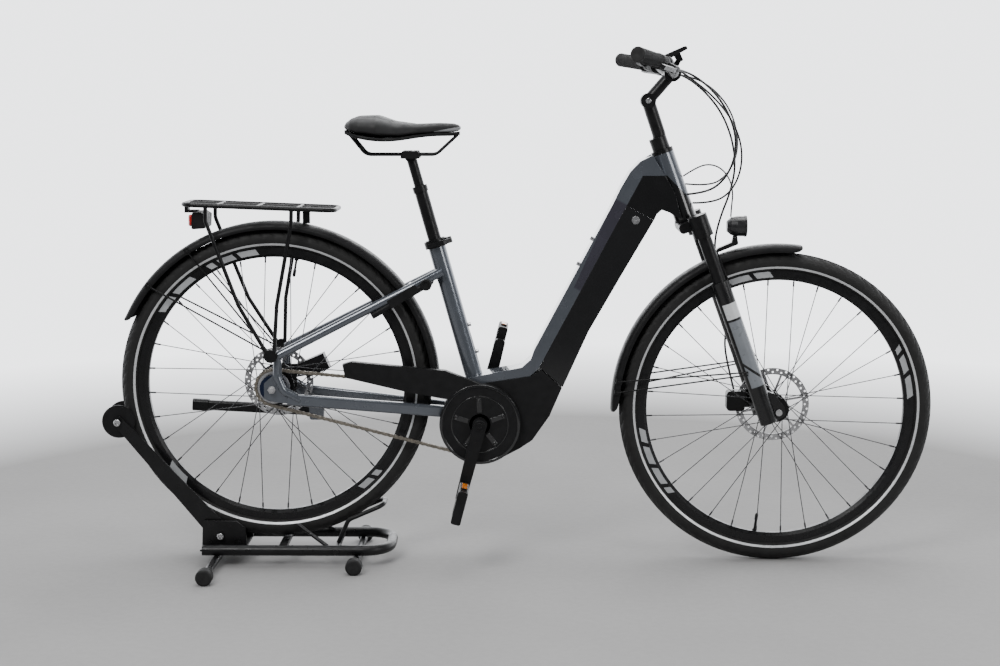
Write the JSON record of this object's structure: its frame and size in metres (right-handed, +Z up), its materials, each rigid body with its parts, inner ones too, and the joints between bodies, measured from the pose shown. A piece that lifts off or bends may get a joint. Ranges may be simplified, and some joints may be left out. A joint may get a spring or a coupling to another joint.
{
  "type": "electric city bicycle on a floor stand",
  "caption": "Step-through city bicycle with mid motor, battery down tube, mudguards, rack and lights, held by its rear wheel in a floor stand.",
  "frame": {"origin": "on the floor, half way along the whole object, in the middle of its width", "axes": "+X towards the front wheel, +Y to the rider's left, +Z up"},
  "size_m": [1.9, 0.6206, 1.1741],
  "materials": {
    "slate_paint": "satin metallic slate-blue grey, clear coat",
    "black_paint": "gloss black paint",
    "black_alloy": "satin black anodised aluminium",
    "black_plastic": "matt black moulded plastic",
    "gloss_plastic": "gloss black moulded plastic",
    "stand_steel": "black powder coat over steel tube",
    "rubber": "soft black rubber",
    "tyre_rubber": "black tyre rubber with a reflective ring",
    "rim_alloy": "black anodised rim with machined edge",
    "spoke_steel": "dark stainless steel wire",
    "steel": "bare ground steel",
    "chain_steel": "oiled chain steel",
    "silver": "bright plated steel",
    "saddle_cover": "black synthetic leather, fine grain",
    "red_lens": "moulded black lamp body with red lens",
    "lamp_body": "black lamp body with clear lens",
    "cable_jacket": "satin black cable jacket"
  },
  "bodies": {
    "stand": {"stand_base": "stand_steel", "stand_foot_caps": "rubber", "stand_bracket": "stand_steel", "stand_cradle": "stand_steel"},
    "wheel_arm": {"stand_arm": "stand_steel"},
    "roller": {"stand_roller": "black_plastic"},
    "frame": {"down_tube": "slate_paint", "seat_tube": "slate_paint", "chain_stays": "slate_paint", "seat_stays": "slate_paint", "motor_housing": "black_plastic", "chain_guard": "black_plastic", "chain": "chain_steel", "rear_mudguard": "black_plastic", "rear_rack": "black_alloy", "tail_light": "red_lens", "rear_caliper": "black_alloy", "rear_axle": "silver", "cage_bolts": "silver", "headset": "black_alloy", "seat_clamp": "black_alloy"},
    "clamp_lever": {"seat_clamp_lever": "black_alloy"},
    "seatpost": {"seatpost_lower": "black_alloy"},
    "saddle": {"seatpost_upper": "black_alloy", "saddle_base": "black_plastic", "saddle_pad": "saddle_cover"},
    "battery": {"battery_cover": "gloss_plastic", "battery_pack": "black_plastic"},
    "lock": {"key_lock": "silver"},
    "crank": {"crankset": "black_alloy"},
    "right_pedal": {"pedal_right": "black_plastic"},
    "left_pedal": {"pedal_left": "black_plastic"},
    "sprocket": {"rear_sprocket": "steel"},
    "rear_wheel": {"rear_tyre": "tyre_rubber", "rear_rim": "rim_alloy", "rear_spokes": "spoke_steel", "rear_hub": "black_alloy", "rear_rotor": "steel"},
    "kickstand": {"kickstand_leg": "black_alloy"},
    "steering": {"fork_crown": "black_alloy", "stem": "black_alloy", "handlebar": "black_alloy", "grips": "rubber", "brake_perches": "black_plastic", "cables": "cable_jacket"},
    "lowers": {"fork_lowers": "slate_paint", "front_mudguard": "black_plastic", "front_caliper": "black_alloy"},
    "axle_lever": {"front_axle": "silver"},
    "front_wheel": {"front_tyre": "tyre_rubber", "front_rim": "rim_alloy", "front_spokes": "spoke_steel", "front_hub": "black_alloy", "front_rotor": "steel"},
    "left_lever": {"brake_lever_left": "black_alloy"},
    "right_lever": {"brake_lever_right": "black_alloy"},
    "gear_shifter": {"shifter": "black_plastic"},
    "button": {"remote_button": "black_plastic"},
    "screen": {"display": "black_plastic"},
    "lamp": {"headlight": "lamp_body"}
  },
  "joints": [
    {"name": "arm_fold", "type": "hinge", "parent": "stand", "child": "wheel_arm", "pos_m": [-0.68, 0, 0.062], "axis": [0, -1, 0], "range_deg": [0, 35]},
    {"name": "roller_spin", "type": "hinge", "parent": "wheel_arm", "child": "roller", "pos_m": [-0.912, 0, 0.326], "axis": [0, 1, 0], "continuous": true},
    {"name": "lift_off", "type": "slide", "parent": "stand", "child": "frame", "axis": [0, 0, 1], "range_m": [0, 0.2]},
    {"name": "clamp_open", "type": "hinge", "parent": "frame", "child": "clamp_lever", "pos_m": [-0.15285, -0.0167, 0.74666], "axis": [-0.2706, 0, 0.9627], "range_deg": [0, 95]},
    {"name": "seat_height", "type": "slide", "parent": "frame", "child": "seatpost", "axis": [-0.2706, 0, 0.9627], "range_m": [-0.1, 0.05]},
    {"name": "seat_spring", "type": "slide", "parent": "seatpost", "child": "saddle", "axis": [-0.2706, 0, 0.9627], "range_m": [-0.04, 0], "stiffness_N_per_m": 3000, "springref_m": 0.006},
    {"name": "battery_out", "type": "slide", "parent": "frame", "child": "battery", "axis": [0.8829, 0, -0.4695], "range_m": [0, 0.015]},
    {"name": "lock_turn", "type": "hinge", "parent": "battery", "child": "lock", "pos_m": [0.268, -0.036, 0.789], "axis": [0, 1, 0], "range_deg": [0, 90]},
    {"name": "crank_spin", "type": "hinge", "parent": "frame", "child": "crank", "pos_m": [-0.082, 0, 0.327], "axis": [0, 1, 0], "continuous": true},
    {"name": "right_pedal_spin", "type": "hinge", "parent": "crank", "child": "right_pedal", "pos_m": [-0.12456, -0.14, 0.16241], "axis": [0, 1, 0], "continuous": true},
    {"name": "left_pedal_spin", "type": "hinge", "parent": "crank", "child": "left_pedal", "pos_m": [-0.03944, 0.14, 0.49159], "axis": [0, 1, 0], "continuous": true},
    {"name": "sprocket_spin", "type": "hinge", "parent": "frame", "child": "sprocket", "pos_m": [-0.551, -0.045, 0.409], "axis": [0, 1, 0], "continuous": true},
    {"name": "rear_wheel_spin", "type": "hinge", "parent": "frame", "child": "rear_wheel", "pos_m": [-0.551, 0, 0.409], "axis": [0, 1, 0], "continuous": true},
    {"name": "kickstand_down", "type": "hinge", "parent": "frame", "child": "kickstand", "pos_m": [-0.47, 0.083, 0.322], "axis": [-0.0155, -0.9506, -0.31], "range_deg": [0, 104]},
    {"name": "steer", "type": "hinge", "parent": "frame", "child": "steering", "pos_m": [0.356, 0, 0.8645], "axis": [-0.342, 0, 0.9397], "range_deg": [-60, 60], "deforming": ["cables"]},
    {"name": "fork_travel", "type": "slide", "parent": "steering", "child": "lowers", "axis": [-0.342, 0, 0.9397], "range_m": [0, 0.05], "stiffness_N_per_m": 4000, "springref_m": -0.002},
    {"name": "axle_lever_open", "type": "hinge", "parent": "lowers", "child": "axle_lever", "pos_m": [0.593, 0, 0.357], "axis": [0, 1, 0], "range_deg": [0, 90]},
    {"name": "front_wheel_spin", "type": "hinge", "parent": "lowers", "child": "front_wheel", "pos_m": [0.593, 0, 0.357], "axis": [0, 1, 0], "continuous": true},
    {"name": "left_brake", "type": "hinge", "parent": "steering", "child": "left_lever", "pos_m": [0.33351, 0.19465, 1.1216], "axis": [0.4448, 0.1046, 0.8895], "range_deg": [0, 12], "stiffness_Nm_per_rad": 0.5, "springref_deg": -5.73},
    {"name": "right_brake", "type": "hinge", "parent": "steering", "child": "right_lever", "pos_m": [0.33351, -0.19465, 1.1216], "axis": [-0.4448, 0.1046, -0.8895], "range_deg": [0, 12], "stiffness_Nm_per_rad": 0.5, "springref_deg": -5.73},
    {"name": "shift_twist", "type": "hinge", "parent": "steering", "child": "gear_shifter", "pos_m": [0.3168, -0.15, 1.1352], "axis": [-0.395, -0.9143, 0.09], "range_deg": [-60, 30]},
    {"name": "button_press", "type": "slide", "parent": "steering", "child": "button", "axis": [0.8038, 0.3914, -0.4479], "range_m": [0, 0.001], "stiffness_N_per_m": 400, "springref_m": -0.001},
    {"name": "display_tilt", "type": "hinge", "parent": "steering", "child": "screen", "pos_m": [0.364, 0, 1.146], "axis": [0, 1, 0], "range_deg": [-15, 15]},
    {"name": "lamp_tilt", "type": "hinge", "parent": "lowers", "child": "lamp", "pos_m": [0.495, 0, 0.745], "axis": [0, 1, 0], "range_deg": [-8, 15]}
  ],
  "couplings": [
    {"joint": "sprocket_spin", "follows": "crank_spin", "ratio": 1.9}
  ]
}
